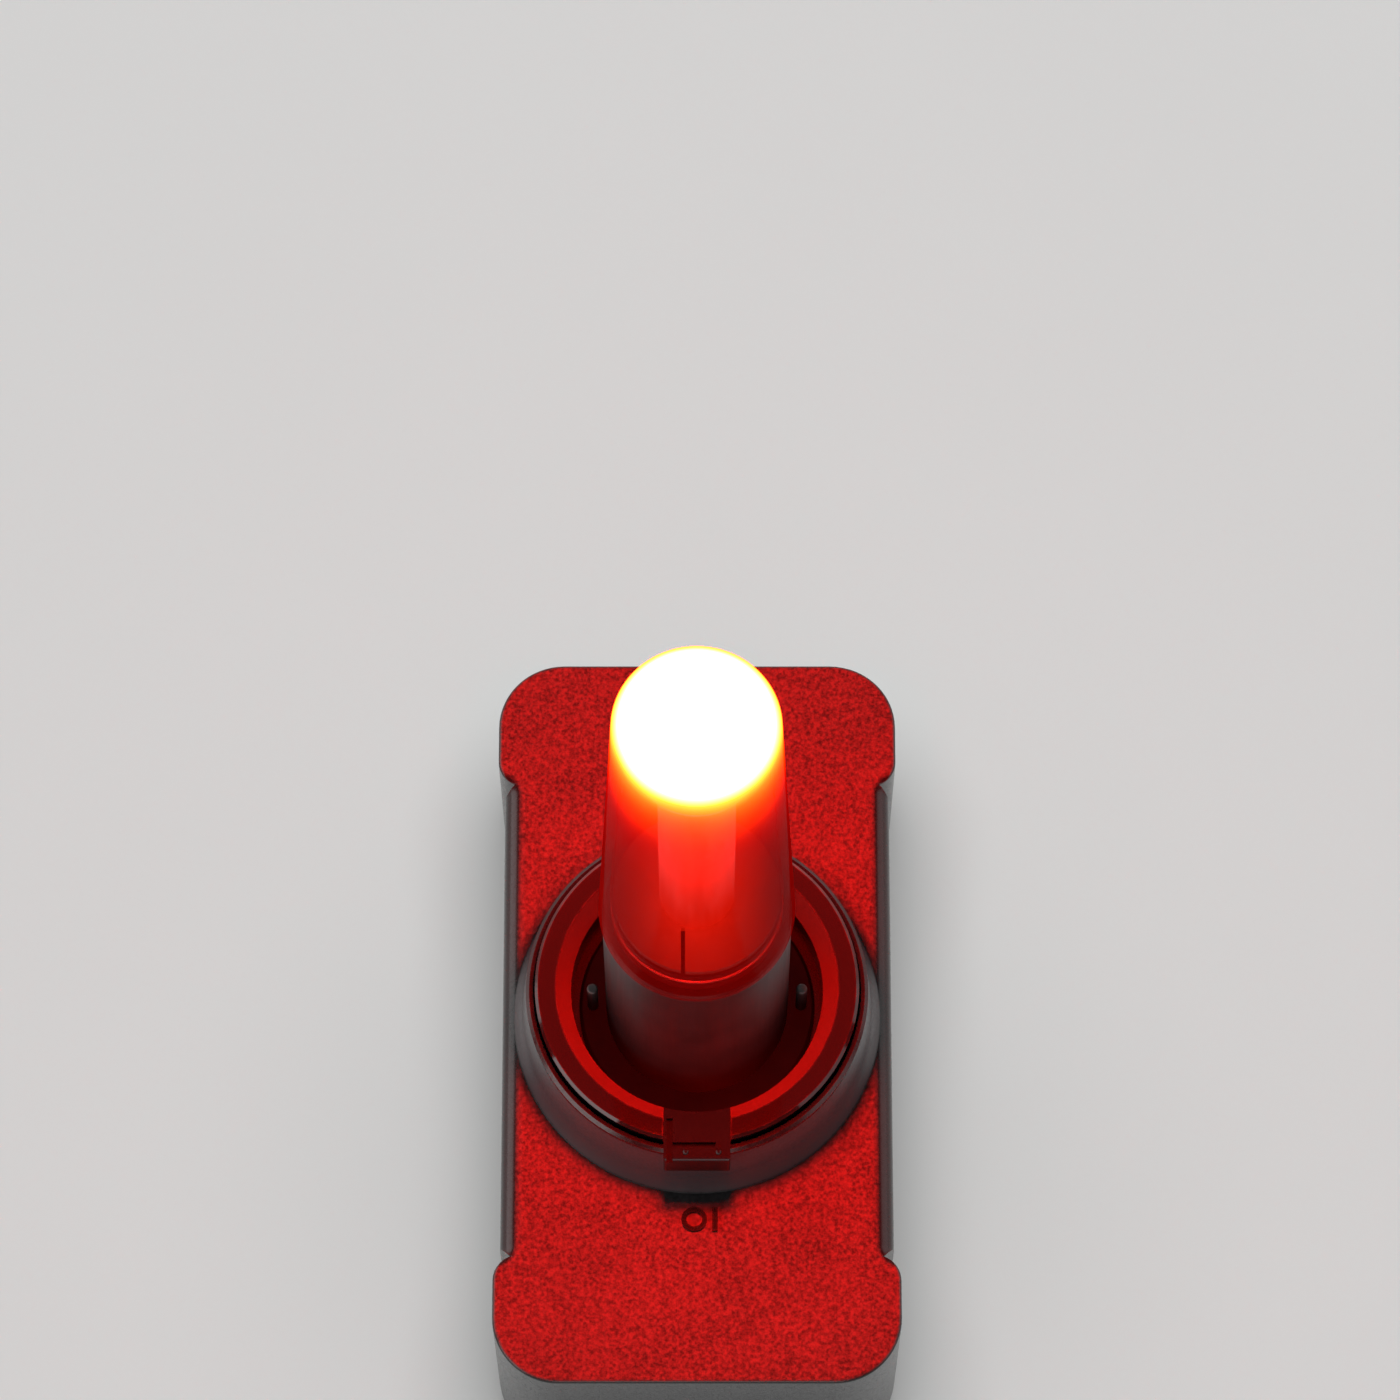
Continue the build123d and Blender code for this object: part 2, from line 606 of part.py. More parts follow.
def mast_dowels():
    dowels = []
    for sign in (-1, 1):
        pin = rod(DOWEL_RADIUS, PLATE_Z - 0.2, COLLAR_TOP - 0.9, sign * DOWEL_X)
        dowels.append(fillet(pin.edges().sort_by(Axis.Z)[-1], 0.2))
    return dowels


def wire_grommet():
    return turned(
        (0.85, CEILING_Z - 0.6),
        (2.4, CEILING_Z - 0.6),
        (2.4, CEILING_Z),
        (1.6, CEILING_Z),
        (1.6, WELL_FLOOR),
        (2.4, WELL_FLOOR),
        (2.4, WELL_FLOOR + 0.6),
        (0.85, WELL_FLOOR + 0.6),
    )


def lens():
    """The red tube with a domed end, slightly tapered."""
    low = MAST_TOP + 0.1
    socket = SPIGOT_RADIUS + 0.08
    tube = domed(LENS_SHOULDER_RADIUS, LENS_SHOULDER_Z, LENS_TOP, (LENS_RADIUS, low))
    inner_radius = LENS_SHOULDER_RADIUS - LENS_WALL
    tube -= domed(inner_radius, LENS_SHOULDER_Z, LENS_TOP - LENS_WALL, (socket, SPIGOT_TOP + 1.5))
    return tube - rod(socket, low - 1, SPIGOT_TOP + 1.5)


def lens_o_ring():
    return torus_at(SPIGOT_RADIUS - 0.26, 0.33, MAST_TOP + 1.75)


def led_post():
    """The tube on a round base that holds the lamp head up inside the lens."""
    base = ring(POST_BASE_RADIUS, POST_BORE, SPIGOT_TOP, SPIGOT_TOP + 0.8)
    base -= block(*POST_SLOT, -POST_BASE_RADIUS - 1, -POST_RADIUS, SPIGOT_TOP - 1, SPIGOT_TOP + 2)
    return base + ring(POST_RADIUS, POST_BORE, SPIGOT_TOP, HEAD_BOARD_Z)


def led_emitters():
    z_low = HEAD_BOARD_Z + HEAD_BOARD_THICK
    emitters = []
    for quarter in range(4):
        angle = radians(45 + 90 * quarter)
        x = EMITTER_RING * cos(angle)
        y = EMITTER_RING * sin(angle)
        package = block(x - 1.4, x + 1.4, y - 1.4, y + 1.4, z_low, z_low + 0.8)
        emitters.append(package + Pos(x, y, z_low + 0.7) * Sphere(1.1, arc_size1=0))
    return emitters


def diffuser():
    """The frosted dome over the emitters."""
    low = HEAD_BOARD_Z + HEAD_BOARD_THICK
    side = DIFFUSER_TOP - 2.6
    inner = DIFFUSER_RADIUS - DIFFUSER_WALL
    cover = domed(DIFFUSER_RADIUS, side, DIFFUSER_TOP, (DIFFUSER_RADIUS, low))
    return cover - domed(inner, side, DIFFUSER_TOP - DIFFUSER_WALL, (inner, low - 1))


def led_wires():
    return [rod(WIRE_RADIUS, BOARD_TOP, HEAD_BOARD_Z, sign * WIRE_X) for sign in (-1, 1)]


PARTS = {
    "upper_shell": upper_shell,
    "lower_shell": lower_shell,
    "shell_gasket": lambda: gasket_band(PARTING_Z - 0.5, PARTING_Z),
    "shell_screws": shell_screws,
    "rubber_feet": rubber_feet,
    "battery_tray": battery_tray,
    "cell_left": lambda: cell(-CELL_X, 1),
    "cell_right": lambda: cell(CELL_X, -1),
    "contact_plates": contact_plates,
    "bridge_plate": bridge_plate,
    "contact_springs": contact_springs,
    "battery_wires": battery_wires,
    "battery_door": battery_door,
    "door_pin": door_pin,
    "lock_screw": lock_screw,
    "door_gasket": door_gasket,
    "circuit_board": circuit_board,
    "board_screws": board_screws,
    "driver_chip": driver_chip,
    "inductor": inductor,
    "hall_sensor": hall_sensor,
    "collar": collar,
    "thumb_tab": thumb_tab,
    "collar_magnet": collar_magnet,
    "collar_retainer": collar_retainer,
    "collar_o_ring": collar_o_ring,
    "detent_ball": detent_ball,
    "detent_spring": detent_spring,
    "mast": mast,
    "mast_gasket": mast_gasket,
    "mast_screws": mast_screws,
    "mast_dowels": mast_dowels,
    "wire_grommet": wire_grommet,
    "lens": lens,
    "lens_o_ring": lens_o_ring,
    "led_post": led_post,
    "led_board": lambda: rod(HEAD_BOARD_RADIUS, HEAD_BOARD_Z, HEAD_BOARD_Z + HEAD_BOARD_THICK),
    "led_emitters": led_emitters,
    "diffuser": diffuser,
    "led_wires": led_wires,
}

os.makedirs("parts", exist_ok=True)
for name, make in PARTS.items():
    piece = make()
    if isinstance(piece, list):
        piece = Compound(children=[each if isinstance(each, Solid) else each.solids()[0] for each in piece])
    export_step(piece, f"parts/{name}.step")
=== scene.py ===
import json
import math

import bmesh
import bpy
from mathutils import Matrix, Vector

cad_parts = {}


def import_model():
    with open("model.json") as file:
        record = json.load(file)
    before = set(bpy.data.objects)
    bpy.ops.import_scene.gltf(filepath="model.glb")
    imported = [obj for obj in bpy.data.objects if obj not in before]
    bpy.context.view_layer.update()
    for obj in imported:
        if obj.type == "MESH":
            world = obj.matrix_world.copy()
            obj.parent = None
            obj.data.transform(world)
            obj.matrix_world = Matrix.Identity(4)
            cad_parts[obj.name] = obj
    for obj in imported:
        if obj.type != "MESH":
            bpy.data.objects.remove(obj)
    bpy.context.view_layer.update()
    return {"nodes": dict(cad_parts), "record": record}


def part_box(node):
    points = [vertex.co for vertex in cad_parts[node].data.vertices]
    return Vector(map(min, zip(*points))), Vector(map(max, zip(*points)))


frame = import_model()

nodes = frame["nodes"]
MM = 0.001

# Places taken from the frame
COLLAR_ABOVE_PLATE = 3.4 * MM
plate_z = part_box("collar")[0].z - COLLAR_ABOVE_PLATE
collar_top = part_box("collar")[1].z
lens_low, lens_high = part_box("lens")
head_low, head_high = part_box("diffuser")

# Where one finish gives way to the next, as radii about the mast, and the width of that change
CREST_RADIUS = 12.6 * MM
TURRET_INNER = 14.9 * MM
TURRET_OUTER = 17.0 * MM
BLEND = 0.1 * MM

# Tones of the turret's wall, of dust on rubber and of the red lamps, and the palest a polished face may
# be. The wall's tone is partly painted light: a satin tone tinted red to stand in for the red glow bounced
# onto it from the lit plate
SATIN_AND_RED_LIGHT_TONE = (0.062, 0.041, 0.044, 1.0)
DUST_TONE = (0.09, 0.085, 0.08, 1.0)
LAMP_RED = (1.0, 0.006, 0.003)
POLISHED_LIMIT = 0.0028


# ---------------------------------------------------------------- node helpers
class Tree:
    """Short calls for building one material's nodes."""

    def __init__(self, name):
        self.material = bpy.data.materials.new(name)
        self.material.use_nodes = True
        self.nodes = self.material.node_tree.nodes
        self.links = self.material.node_tree.links
        self.shader = self.nodes["Principled BSDF"]
        self.coords = self.nodes.new("ShaderNodeTexCoord").outputs["Object"]

    def put(self, socket, value):
        """Link a socket to another, or set it to a plain value."""
        if isinstance(value, bpy.types.NodeSocket):
            self.links.new(value, socket)
        else:
            socket.default_value = value

    def stretch(self, x, y, z):
        """The object's coordinates, scaled per axis."""
        node = self.nodes.new("ShaderNodeMapping")
        self.put(node.inputs["Vector"], self.coords)
        node.inputs["Scale"].default_value = (x, y, z)
        return node.outputs["Vector"]

    def noise(self, scale, detail=3.0, rough=0.5, vector=None):
        node = self.nodes.new("ShaderNodeTexNoise")
        node.inputs["Scale"].default_value = scale
        node.inputs["Detail"].default_value = detail
        node.inputs["Roughness"].default_value = rough
        self.put(node.inputs["Vector"], vector or self.coords)
        return node.outputs["Fac"]

    def cells(self, scale, vector=None):
        node = self.nodes.new("ShaderNodeTexVoronoi")
        node.inputs["Scale"].default_value = scale
        self.put(node.inputs["Vector"], vector or self.coords)
        return node.outputs["Distance"]

    def ramp(self, value, low, high, out_low=0.0, out_high=1.0, smooth=False):
        node = self.nodes.new("ShaderNodeMapRange")
        node.interpolation_type = "SMOOTHSTEP" if smooth else "LINEAR"
        self.put(node.inputs["Value"], value)
        node.inputs["From Min"].default_value = low
        node.inputs["From Max"].default_value = high
        node.inputs["To Min"].default_value = out_low
        node.inputs["To Max"].default_value = out_high
        return node.outputs["Result"]

    def math(self, operation, a, b=0.0, c=0.0):
        node = self.nodes.new("ShaderNodeMath")
        node.operation = operation
        for socket, value in zip(node.inputs, (a, b, c)):
            self.put(socket, value)
        return node.outputs["Value"]

    def mix(self, share, first, second):
        node = self.nodes.new("ShaderNodeMix")
        node.data_type = "RGBA"
        self.put(node.inputs["Factor"], share)
        self.put(node.inputs[6], first)
        self.put(node.inputs[7], second)
        return node.outputs[2]

    def colours(self, value, stops):
        """A colour ramp from (place, colour) stops."""
        node = self.nodes.new("ShaderNodeValToRGB")
        self.put(node.inputs["Fac"], value)
        band = node.color_ramp
        while len(band.elements) < len(stops):
            band.elements.new(0.5)
        for element, (place, colour) in zip(band.elements, stops):
            element.position = place
            element.color = (*colour, 1.0)
        return node.outputs["Color"]

    def axis(self, name):
        node = self.nodes.new("ShaderNodeSeparateXYZ")
        self.put(node.inputs["Vector"], self.coords)
        return node.outputs[name]

    def from_axis(self):
        """Distance from the mast's axis."""
        node = self.nodes.new("ShaderNodeVectorMath")
        node.operation = "LENGTH"
        self.put(node.inputs[0], self.stretch(1, 1, 0))
        return node.outputs["Value"]

    def facing(self, blend):
        """0 where the surface faces the eye, 1 at its outline."""
        node = self.nodes.new("ShaderNodeLayerWeight")
        node.inputs["Blend"].default_value = blend
        return node.outputs["Facing"]

    def bump(self, *layers):
        """Stack (height, distance) layers into the shader's normal."""
        normal = None
        for height, distance in layers:
            node = self.nodes.new("ShaderNodeBump")
            node.inputs["Distance"].default_value = distance
            self.put(node.inputs["Height"], height)
            if normal:
                self.put(node.inputs["Normal"], normal)
            normal = node.outputs["Normal"]
        self.put(self.shader.inputs["Normal"], normal)

    def edges(self, radius):
        """1 near sharp edges, 0 on open faces."""
        bevel = self.nodes.new("ShaderNodeBevel")
        bevel.samples = 6
        bevel.inputs["Radius"].default_value = radius
        geometry = self.nodes.new("ShaderNodeNewGeometry")
        dot = self.nodes.new("ShaderNodeVectorMath")
        dot.operation = "DOT_PRODUCT"
        self.put(dot.inputs[0], bevel.outputs["Normal"])
        self.put(dot.inputs[1], geometry.outputs["Normal"])
        return self.ramp(dot.outputs["Value"], 0.995, 0.9)

    def set(self, **values):
        """Set shader sockets by name, with _ for spaces."""
        for name, value in values.items():
            if isinstance(value, tuple):
                value = (*value, 1.0)
            self.put(self.shader.inputs[name.replace("_", " ")], value)


# ---------------------------------------------------------------- materials
def moulded(name, dark, light, roughness, grain, grain_depth, wear, polished=None, polish=0.1, satin=None):
    """Grained moulded plastic with rubbed edges and faint handling marks.

    polished(tree) gives 1 where the mould was smooth and 0 where it was grained, with polish as the smooth
    roughness. The last mask gives 1 on a smooth wall that is paler and duller, where the tone also holds
    painted red light: a red tint standing in for the glow bounced onto it from the lit plate.
    """
    tree = Tree(name)
    fine = tree.noise(grain, 2.0, 0.6)
    pits = tree.cells(grain * 0.75)
    blotch = tree.noise(160, 3.0)
    scuff = tree.ramp(tree.noise(900, 4.0, 0.7, tree.stretch(1, 0.12, 0.5)), 0.62, 0.72)
    rub = tree.math("MULTIPLY", tree.edges(0.3 * MM), tree.ramp(tree.noise(700, 3.0), 0.35, 0.7))
    cloud = tree.ramp(blotch, 0.3, 0.7, 0.0, 0.18)
    speck = tree.math("MULTIPLY_ADD", tree.ramp(fine, 0.32, 0.68), 0.85, cloud)
    tone = tree.mix(speck, (*dark, 1.0), (*light, 1.0))
    rough = tree.math("ADD", tree.ramp(fine, 0.3, 0.7, roughness - 0.06, roughness + 0.07),
                      tree.math("MULTIPLY", scuff, 0.07))
    depth = 1.0
    if polished:
        smooth = polished(tree)
        deep = [min(channel * 0.35, POLISHED_LIMIT) for channel in dark]
        tone = tree.mix(smooth, tone, (*deep, 1.0))
        rough = tree.math("SUBTRACT", rough, tree.math("MULTIPLY", smooth, roughness - polish))
        depth = tree.math("SUBTRACT", 1.0, tree.math("MULTIPLY", smooth, 0.97))
    if satin:
        wall = satin(tree)
        # The wall's tone is partly painted light: its red tint stands in for red light bounced from the
        # plate.
        tone = tree.mix(wall, tone, SATIN_AND_RED_LIGHT_TONE)
        rough = tree.math("ADD", rough, tree.math("MULTIPLY", wall, 0.1))
    worn = tuple(channel * 1.4 + 0.012 for channel in light)
    tone = tree.mix(tree.math("MULTIPLY", rub, wear), tone, (*worn, 1.0))
    rough = tree.math("SUBTRACT", rough, tree.math("MULTIPLY", rub, 0.08))
    tree.set(Base_Color=tone, Roughness=rough, IOR=1.5, Specular_IOR_Level=0.5)
    tree.bump((tree.math("MULTIPLY", pits, depth), grain_depth),
              (tree.math("MULTIPLY", fine, depth), grain_depth * 0.7))
    return tree.material


def off_plate(tree):
    """The turret, the marks and the walls: smooth where the plate is grained."""
    height = tree.axis("Z")
    above = tree.ramp(height, plate_z + 0.05 * MM, plate_z + 0.15 * MM)
    below = tree.ramp(height, plate_z - 0.02 * MM, plate_z - 0.14 * MM)
    return tree.math("MAXIMUM", above, below)


def turret_wall(tree):
    """The turret's flared outer wall, between the plate and its rim."""
    height = tree.axis("Z")
    above = tree.ramp(height, plate_z + 0.05 * MM, plate_z + 0.25 * MM)
    below = tree.ramp(height, collar_top - 1.8 * MM, collar_top - 2.3 * MM)
    radius = tree.from_axis()
    outside = tree.ramp(radius, TURRET_INNER - BLEND, TURRET_INNER + BLEND)
    inside = tree.ramp(radius, TURRET_OUTER + BLEND, TURRET_OUTER - BLEND)
    ring = tree.math("MULTIPLY", outside, inside)
    return tree.math("MULTIPLY", tree.math("MULTIPLY", above, below), ring)


def outside_bevel(tree):
    """The collar's polished top and bore; the bevel inside its crest is matt."""
    top = tree.ramp(tree.from_axis(), CREST_RADIUS - BLEND, CREST_RADIUS + BLEND)
    bore = tree.ramp(tree.axis("Z"), collar_top - 1.45 * MM, collar_top - 1.6 * MM)
    return tree.math("MAXIMUM", top, bore)


def mast_plastic():
    """Smoother black plastic with faint draw lines along the mast."""
    tree = Tree("mast_black")
    lines = tree.noise(900, 3.0, 0.6, tree.stretch(1, 1, 0.03))
    haze = tree.noise(240, 3.0)
    tone = tree.mix(tree.ramp(haze, 0.3, 0.7), (0.005, 0.0045, 0.0047, 1), (0.008, 0.0072, 0.0075, 1))
    rough = tree.ramp(lines, 0.3, 0.7, 0.34, 0.42)
    tree.set(Base_Color=tone, Roughness=rough, IOR=1.5, Specular_IOR_Level=0.22)
    tree.bump((lines, 0.0015 * MM), (tree.noise(2600, 2.0), 0.003 * MM))
    return tree.material


def lens_plastic():
    """Clear red tube: deep red where it is seen edge on, its domed top lit through by the head."""
    tree = Tree("lens_red_clear")
    height = tree.axis("Z")
    swirl = tree.noise(150, 3.0, 0.5, tree.stretch(1, 1, 0.35))
    tint = tree.mix(tree.ramp(swirl, 0.3, 0.7), (0.13, 0.001, 0.0006, 1), (0.2, 0.002, 0.001, 1))
    crown = tree.ramp(height, lens_high.z - 2.75 * MM, lens_high.z - 2.2 * MM)
    under_head = tree.ramp(height, lens_high.z - 21 * MM, lens_high.z - 2.8 * MM)
    collar_of_light = tree.math("POWER", under_head, 5.0)
    near_head = tree.ramp(height, lens_low.z + 2 * MM, lens_high.z - 3.2 * MM)
    side = tree.math("MULTIPLY_ADD", tree.math("POWER", near_head, 4.0), 1.3, 0.1)
    side = tree.math("MULTIPLY_ADD", collar_of_light, 14.0, side)
    side = tree.math("MULTIPLY", side, tree.ramp(swirl, 0.2, 0.8, 0.8, 1.2))
    strength = tree.math("MULTIPLY_ADD", crown, 45.0, side)
    heat = tree.math("MULTIPLY_ADD", collar_of_light, 0.5, tree.math("MULTIPLY", crown, 0.5))
    glow = tree.colours(heat, [
        (0.0, (1.0, 0.0, 0.0)),
        (0.03, (1.0, 0.02, 0.0)),
        (0.5, (1.0, 0.06, 0.004)),
        (1.0, (1.0, 0.07, 0.03)),
    ])
    cloud = tree.math("MAXIMUM", tree.ramp(tree.facing(0.5), 0.55, 0.93, 0.22, 0.9), crown)
    cloud = tree.math("MAXIMUM", cloud, tree.math("MULTIPLY", collar_of_light, 0.9))
    rough = tree.ramp(tree.noise(500, 3.0), 0.3, 0.7, 0.06, 0.13)
    tree.set(Base_Color=tint, Roughness=rough, IOR=1.49, Specular_IOR_Level=0.0, Alpha=cloud)
    tree.set(Coat_Weight=0.04, Coat_Roughness=0.05, Emission_Color=glow, Emission_Strength=strength)
    tree.bump((tree.noise(320, 2.0, 0.5, tree.stretch(1, 1, 0.2)), 0.01 * MM))
    return tree.material


def diffuser_plastic():
    """The lit head: white hot over its crown, orange and red down its side."""
    tree = Tree("diffuser_lit")
    height = tree.ramp(tree.axis("Z"), head_low.z, head_high.z)
    heat = tree.ramp(height, 0.1, 0.75, smooth=True)
    frost = tree.noise(1800, 3.0)
    colour = tree.colours(heat, [
        (0.0, (1.0, 0.03, 0.0)),
        (0.4, (1.0, 0.05, 0.005)),
        (1.0, (1.0, 0.07, 0.02)),
    ])
    strength = tree.math("MULTIPLY_ADD", tree.math("POWER", heat, 1.5), 30.0, 5.0)
    strength = tree.math("MULTIPLY", strength, tree.ramp(frost, 0.2, 0.8, 0.92, 1.08))
    tree.set(Base_Color=(0.8, 0.25, 0.15), Roughness=tree.ramp(frost, 0.3, 0.7, 0.4, 0.6))
    tree.set(Emission_Color=colour, Emission_Strength=strength)
    tree.bump((frost, 0.01 * MM))
    return tree.material


def post_metal():
    """Drawn tube with painted red light from the head above: a glow fading down the post and out to the
    base's rim.
    """
    tree = Tree("post_drawn_painted_glow")
    lines = tree.noise(1400, 3.0, 0.6, tree.stretch(1, 1, 0.08))
    near_head = tree.ramp(tree.axis("Z"), lens_low.z + 2 * MM, head_low.z)
    painted_glow = tree.math("MULTIPLY_ADD", tree.math("POWER", near_head, 2.0), 9.0, 1.2)
    painted_glow = tree.math("MULTIPLY", painted_glow, tree.ramp(tree.from_axis(), 2.2 * MM, 7.1 * MM, 1.0, 0.2))
    painted_glow = tree.math("MULTIPLY", painted_glow, tree.ramp(lines, 0.25, 0.75, 0.8, 1.2))
    tree.set(Base_Color=(0.42, 0.2, 0.19), Metallic=1.0, Roughness=tree.ramp(lines, 0.3, 0.7, 0.35, 0.5))
    # Painted light: the post glows as if lit by the head, though it is no lamp.
    tree.set(Emission_Color=(1.0, 0.012, 0.0), Emission_Strength=painted_glow)
    tree.bump((lines, 0.006 * MM))
    return tree.material


def rubber(name, tone):
    """Matt rubber with dust in its grain."""
    tree = Tree(name)
    grain = tree.noise(2400, 3.0)
    dust = tree.ramp(tree.noise(300, 4.0), 0.45, 0.75)
    colour = tree.mix(tree.math("MULTIPLY", dust, 0.35), (*tone, 1.0), DUST_TONE)
    tree.set(Base_Color=colour, Roughness=tree.ramp(grain, 0.3, 0.7, 0.68, 0.86), Sheen_Weight=0.15)
    tree.bump((grain, 0.02 * MM))
    return tree.material


def steel(name, tone, roughness):
    """Turned or drawn metal with fine tool lines."""
    tree = Tree(name)
    lines = tree.noise(1400, 3.0, 0.6, tree.stretch(1, 1, 6))
    patch = tree.noise(500, 3.0)
    shade = [channel * 0.72 for channel in tone]
    colour = tree.mix(tree.ramp(patch, 0.3, 0.7), (*tone, 1.0), (*shade, 1.0))
    rough = tree.ramp(lines, 0.3, 0.7, roughness, roughness + 0.16)
    tree.set(Base_Color=colour, Metallic=1.0, Roughness=rough)
    tree.bump((lines, 0.006 * MM))
    return tree.material


def solder_mask(name, tone, trace):
    """Circuit board lacquer over raised copper."""
    tree = Tree(name)
    tracks = tree.ramp(tree.cells(420, tree.stretch(1, 1, 0.01)), 0.42, 0.46)
    colour = tree.mix(tracks, (*tone, 1.0), (*trace, 1.0))
    tree.set(Base_Color=colour, Roughness=tree.ramp(tree.noise(900), 0.3, 0.7, 0.25, 0.4), Coat_Weight=0.3)
    tree.bump((tracks, 0.02 * MM))
    return tree.material


def emitter():
    """A lit LED package."""
    tree = Tree("emitter_lit")
    heat = tree.ramp(tree.noise(1500), 0.3, 0.7, 24, 32)
    tree.set(Base_Color=(0.9, 0.7, 0.5), Emission_Color=(1.0, 0.12, 0.04), Emission_Strength=heat)
    return tree.material


def cell_jacket():
    """Plain metal jacket with a brass-coloured band near one end."""
    tree = Tree("cell_jacket_metal")
    band = tree.ramp(tree.axis("Y"), -20 * MM, -19.6 * MM)
    colour = tree.mix(band, (0.5, 0.36, 0.16, 1.0), (0.3, 0.31, 0.33, 1.0))
    tree.set(Base_Color=colour, Metallic=0.85, Roughness=tree.ramp(tree.noise(700), 0.3, 0.7, 0.25, 0.42))
    return tree.material


def wire_sleeve():
    """Red insulation."""
    tree = Tree("wire_sleeve_red")
    tone = tree.mix(tree.noise(600), (0.3, 0.01, 0.01, 1.0), (0.45, 0.02, 0.015, 1.0))
    tree.set(Base_Color=tone, Roughness=0.45)
    return tree.material


shell_finish = moulded(
    "shell_charcoal", (0.005, 0.0044, 0.0046), (0.026, 0.0225, 0.0235), 0.48, 3400, 0.009 * MM, 0.1,
    polished=off_plate, polish=0.24, satin=turret_wall,
)
collar_finish = moulded(
    "collar_charcoal", (0.005, 0.0045, 0.0046), (0.0085, 0.0077, 0.0079), 0.42, 5200, 0.006 * MM, 0.3,
    polished=outside_bevel, polish=0.08,
)
tab_finish = moulded(
    "tab_black", (0.0012, 0.001, 0.001), (0.002, 0.0017, 0.0017), 0.34, 5200, 0.004 * MM, 0.03,
)
inner_finish = moulded(
    "inner_black", (0.02, 0.02, 0.02), (0.03, 0.03, 0.03), 0.5, 3000, 0.03 * MM, 0.2,
)
seal_finish = rubber("seal_black", (0.02, 0.02, 0.02))
foot_finish = rubber("foot_black", (0.028, 0.028, 0.028))
steel_finish = steel("stainless", (0.62, 0.61, 0.6), 0.22)
nickel_finish = steel("nickel", (0.72, 0.69, 0.62), 0.18)
pin_finish = steel("pin_satin", (0.3, 0.27, 0.26), 0.5)

FINISHES = {
    "shell_plastic": shell_finish,
    "collar_plastic": collar_finish,
    "mast_plastic": mast_plastic(),
    "inner_plastic": inner_finish,
    "seal_rubber": seal_finish,
    "foot_rubber": foot_finish,
    "steel": steel_finish,
    "nickel_strip": nickel_finish,
    "magnet": nickel_finish,
    "cell_jacket": cell_jacket(),
    "circuit_green": solder_mask("circuit_green_mask", (0.01, 0.09, 0.035), (0.02, 0.16, 0.06)),
    "lamp_board": solder_mask("lamp_board_white", (0.7, 0.7, 0.68), (0.6, 0.6, 0.58)),
    "post_aluminium": post_metal(),
    "emitter": emitter(),
    "diffuser_red": diffuser_plastic(),
    "lens_red": lens_plastic(),
    "wire_sleeve": wire_sleeve(),
}

# Nodes whose finish differs from the rest of their slot
SPECIAL = {"mast_dowels": pin_finish, "thumb_tab": tab_finish}
for part in frame["record"]["subparts"]:
    node = nodes[part["node"]]
    for slot in node.material_slots:
        slot.material = SPECIAL.get(part["node"], FINISHES[part["material_slot"]])


# ---------------------------------------------------------------- stage
def floor():
    """A wide pale sheet that curves up behind the flare."""
    half = 1.6
    bend_radius = 0.5
    bend_start = half - bend_radius
    bend_steps = 12
    wall_top = 2.2
    mesh = bmesh.new()
    profile = [(-half, 0.0), (bend_start, 0.0)]
    for step in range(1, bend_steps + 1):
        angle = math.radians(90 * step / bend_steps)
        across = bend_start + bend_radius * math.sin(angle)
        profile.append((across, bend_radius - bend_radius * math.cos(angle)))
    profile.append((half, wall_top))
    rows = [[mesh.verts.new((x, y, z)) for x in (-half, half)] for y, z in profile]
    for low, high in zip(rows, rows[1:]):
        mesh.faces.new((low[0], low[1], high[1], high[0])).smooth = True
    data = bpy.data.meshes.new("floor")
    mesh.to_mesh(data)
    mesh.free()
    sheet = bpy.data.objects.new("floor", data)
    bpy.context.scene.collection.objects.link(sheet)
    tree = Tree("floor_pale")
    tree.set(Base_Color=(0.8, 0.8, 0.79), Roughness=tree.ramp(tree.noise(30), 0.3, 0.7, 0.75, 0.85))
    data.materials.append(tree.material)
    return sheet


def soft_lamp(name, place, size, power, colour=(1, 1, 1)):
    """A round soft lamp aimed at the flare's middle."""
    lamp = bpy.data.lights.new(name, "AREA")
    lamp.shape = "DISK"
    lamp.size = size
    lamp.energy = power
    lamp.color = colour
    holder = bpy.data.objects.new(name, lamp)
    holder.location = place
    aim = Vector((0, 0, 0.03)) - holder.location
    holder.rotation_euler = aim.to_track_quat("-Z", "Y").to_euler()
    bpy.context.scene.collection.objects.link(holder)
    return holder


def world():
    """A dim, slightly cool surround."""
    scene_world = bpy.data.worlds.new("studio")
    scene_world.use_nodes = True
    background = scene_world.node_tree.nodes["Background"]
    background.inputs["Color"].default_value = (0.9, 0.93, 1.0, 1.0)
    background.inputs["Strength"].default_value = 0.05
    bpy.context.scene.world = scene_world


def camera():
    """A long lens that looks down on the plate, 20 degrees off its normal."""
    tilt = math.radians(20.0)
    place = (0.27 * MM, -158.9 * MM, plate_z + 520.3 * MM)
    data = bpy.data.cameras.new("camera")
    data.lens = 154.3
    data.sensor_width = 36.0
    holder = bpy.data.objects.new("camera", data)
    holder.location = place
    holder.rotation_euler = (tilt, 0.0, 0.0)
    bpy.context.scene.collection.objects.link(holder)
    bpy.context.scene.camera = holder


def red_lamp(name, place, power, radius):
    """An unseen red lamp that shows in no reflection."""
    data = bpy.data.lights.new(name, "POINT")
    data.energy = power
    data.color = LAMP_RED
    data.shadow_soft_size = radius
    holder = bpy.data.objects.new(name, data)
    holder.location = place
    holder.visible_camera = False
    holder.visible_glossy = False
    bpy.context.scene.collection.objects.link(holder)
    return holder


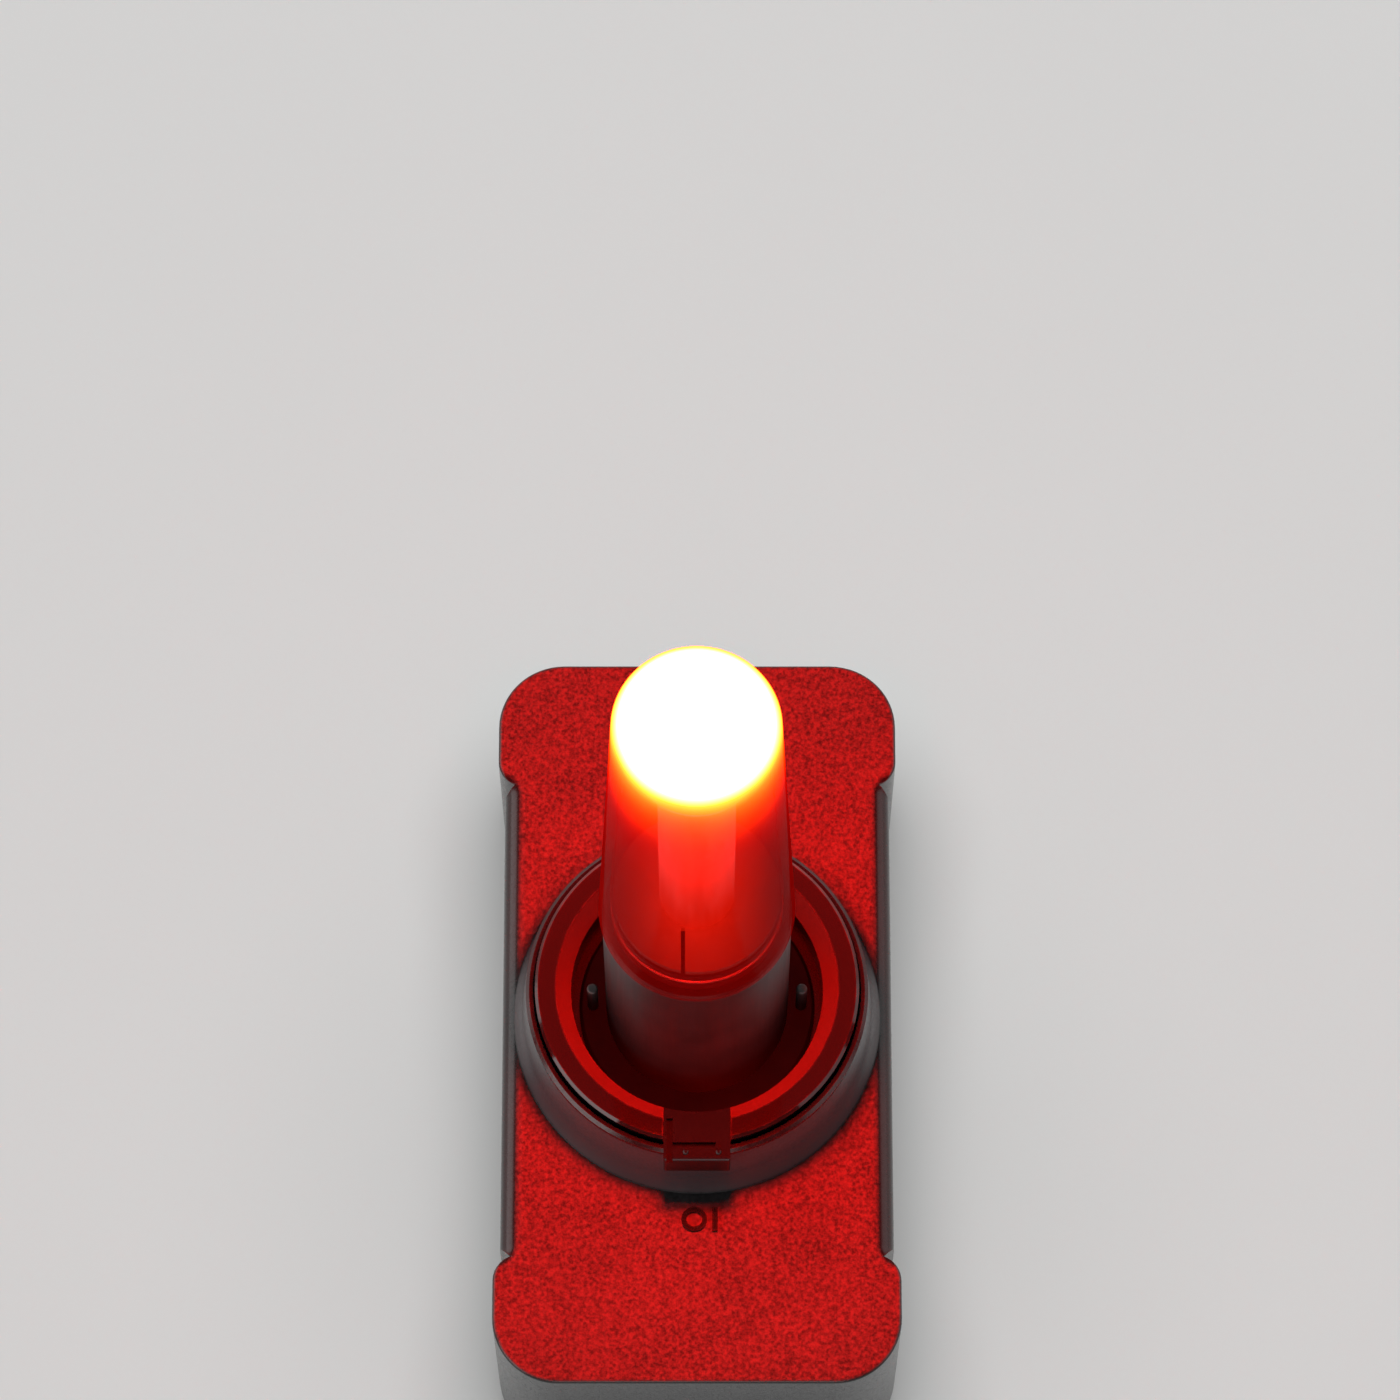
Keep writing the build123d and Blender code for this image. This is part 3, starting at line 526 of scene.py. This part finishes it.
def link_light(holder, receivers, blockers=()):
    """Keep a lamp's light on some objects, and say which ones cast its shadows."""
    lit = bpy.data.collections.new(holder.name + "_lit")
    for item in receivers:
        lit.objects.link(item)
    holder.light_linking.receiver_collection = lit
    if blockers:
        casts = bpy.data.collections.new(holder.name + "_casts")
        for item in blockers:
            casts.objects.link(item)
        holder.light_linking.blocker_collection = casts


def studio():
    """Low soft lamps that light the flare alone, and one from above that lights the floor alone."""
    low_lamps = [
        soft_lamp("key", (-0.8, -0.5, 0.22), 0.7, 3.3),
        soft_lamp("fill", (0.85, -0.35, 0.28), 0.6, 0.75, (0.95, 0.97, 1.0)),
        soft_lamp("rim_left", (-0.9, 0.3, 0.28), 0.7, 2.2),
        soft_lamp("rim_right", (0.9, 0.3, 0.28), 0.7, 1.1),
        soft_lamp("front", (0.0, -0.95, 0.28), 0.5, 1.2),
    ]
    ground = floor()
    for lamp in low_lamps:
        link_light(lamp, list(nodes.values()))
    backdrop = soft_lamp("backdrop", (0.0, 0.2, 1.6), 1.4, 22.0)
    link_light(backdrop, [ground])


def flare_glow():
    """The red light that the lit head and tube throw on the flare itself.

    Head and tube are one tall source, so one lamp stands at each end of it. The mast, the well and the
    collar's bevel have lamps of their own.
    """
    lamp_parts = {"lens", "diffuser", "led_emitters", "led_board", "led_post", "led_wires"}
    others = [node for name, node in nodes.items() if name not in lamp_parts]
    well = [nodes[name] for name in ("mast", "mast_gasket", "mast_dowels")]
    lit = [node for node in others if node not in well]
    no_tab = [node for node in lit if node != nodes["thumb_tab"]]
    no_shadow = [nodes["battery_door"]]
    head = red_lamp("head_glow", (0, 0, plate_z + 76 * MM), 5.3, 4.5 * MM)
    link_light(head, lit, lit)
    side = red_lamp("side_glow", (0, 0, plate_z + 52 * MM), 1.6, 4 * MM)
    link_light(side, lit, no_tab)
    tube = red_lamp("tube_glow", (0, 0, lens_low.z + 18 * MM), 0.22, 24 * MM)
    link_light(tube, well, no_shadow)
    bounce = red_lamp("plate_bounce", (0, -34 * MM, plate_z + 14 * MM), 0.2, 8 * MM)
    link_light(bounce, [nodes["mast"]], no_shadow)
    spill = red_lamp("rear_spill", (0, 60 * MM, plate_z + 30 * MM), 11.0, 8 * MM)
    link_light(spill, [nodes["collar"]], no_shadow)


bpy.context.scene.view_settings.view_transform = "Standard"
world()
camera()
studio()
flare_glow()
